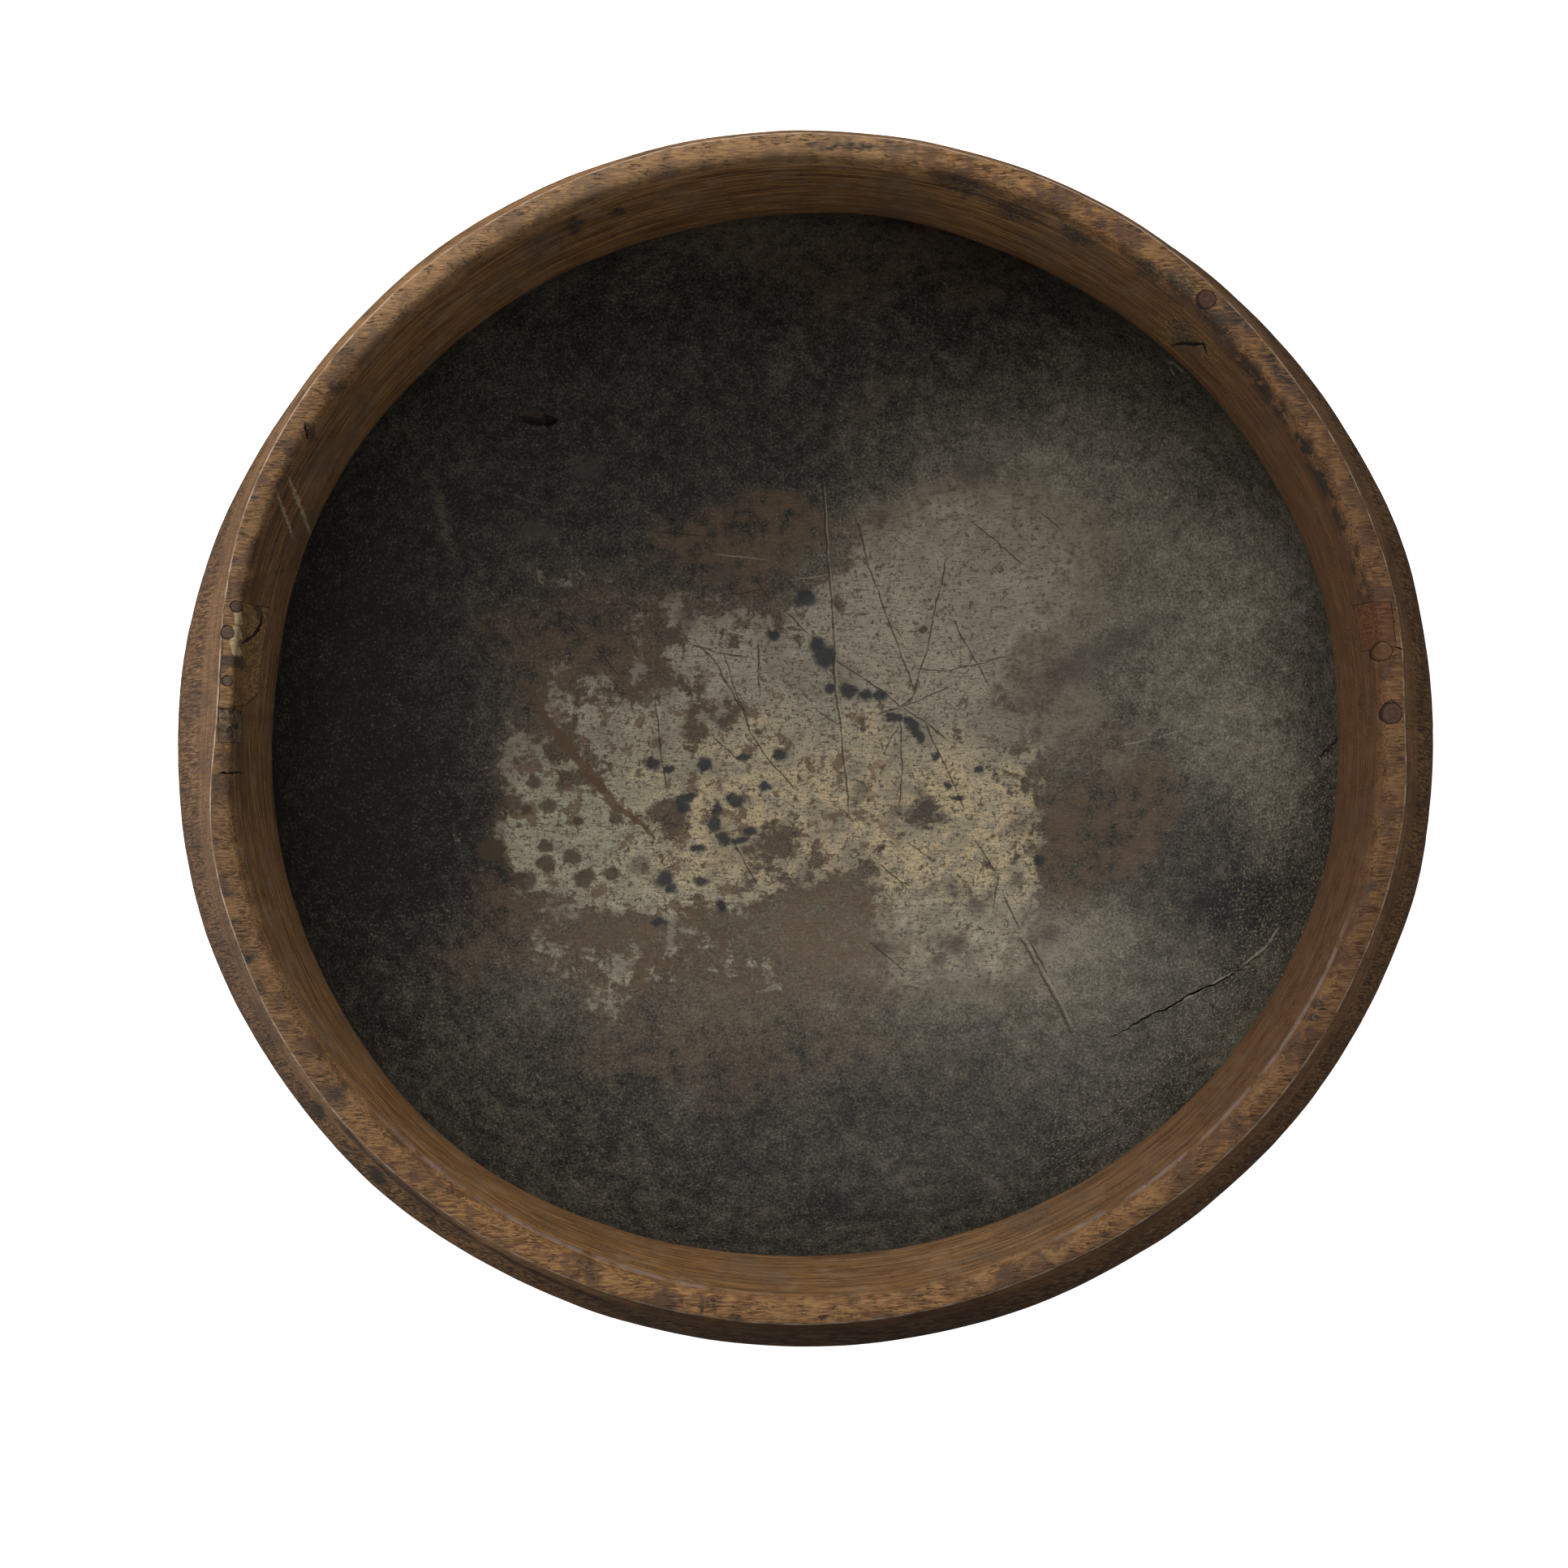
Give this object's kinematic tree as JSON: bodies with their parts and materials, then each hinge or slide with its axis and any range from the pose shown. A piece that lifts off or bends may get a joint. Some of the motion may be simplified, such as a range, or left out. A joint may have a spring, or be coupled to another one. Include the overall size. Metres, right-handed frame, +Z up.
{
  "type": "wooden bowl",
  "caption": "Large round carved wooden bowl with a thick rim turned inwards, a bulging wall and a flat foot, its rim mended with pegged wooden patches.",
  "frame": {"origin": "middle of the flat foot, on the surface that the bowl stands on", "axes": "+Z up out of the bowl's mouth, +X along the grain towards the side with the right patch, +Y towards the side with the round plug"},
  "size_m": [0.5008, 0.486, 0.15],
  "materials": {
    "bowl_wood": "worn brown rim and wall, black and silver patina inside",
    "patch_wood": "worn, honey brown",
    "filler_wood": "rotten and crumbled, grey brown",
    "red_patch_wood": "worn, red brown",
    "peg_wood": "end grain, dark brown"
  },
  "bodies": {
    "root": {"bowl_body": "bowl_wood", "left_rim_patch": "patch_wood", "left_rim_filler": "filler_wood", "right_rim_patch": "red_patch_wood", "left_peg_1": "peg_wood", "left_peg_2": "peg_wood", "left_peg_3": "peg_wood", "right_peg_1": "peg_wood", "right_peg_2": "peg_wood", "upper_right_plug": "peg_wood"}
  },
  "joints": []
}
